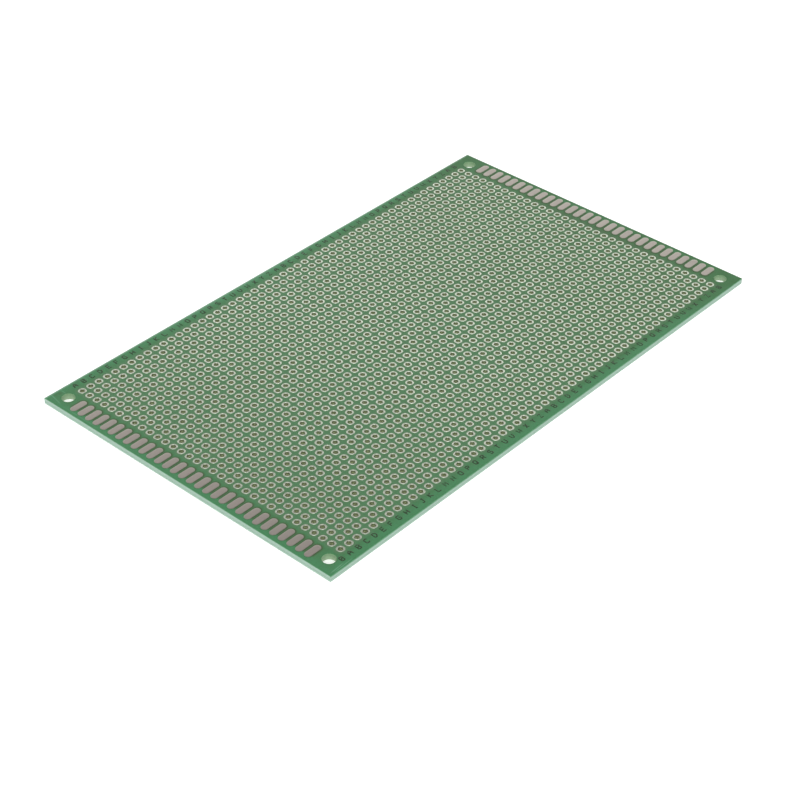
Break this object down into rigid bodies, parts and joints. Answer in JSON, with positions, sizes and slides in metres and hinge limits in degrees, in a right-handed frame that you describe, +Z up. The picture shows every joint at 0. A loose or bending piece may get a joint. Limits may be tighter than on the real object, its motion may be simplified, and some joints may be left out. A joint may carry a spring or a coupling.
{
  "type": "prototype circuit board",
  "caption": "Flat rectangular prototype board with a square grid of pin holes in tinned ring pads, oblong pads along both short edges and a mounting hole in each corner.",
  "frame": {"origin": "middle of the underside, where the board rests", "axes": "+X along the long edges from the first lettered column to the last, +Y across towards the second long edge, +Z up out of the padded face"},
  "size_m": [0.15, 0.09, 0.0017],
  "materials": {
    "laminate": "green solder mask over glass-epoxy laminate, satin",
    "tinned_copper": "dull tin over copper"
  },
  "bodies": {
    "root": {"board": "laminate", "ring_pads": "tinned_copper", "left_end_pads": "tinned_copper", "right_end_pads": "tinned_copper"}
  },
  "joints": []
}
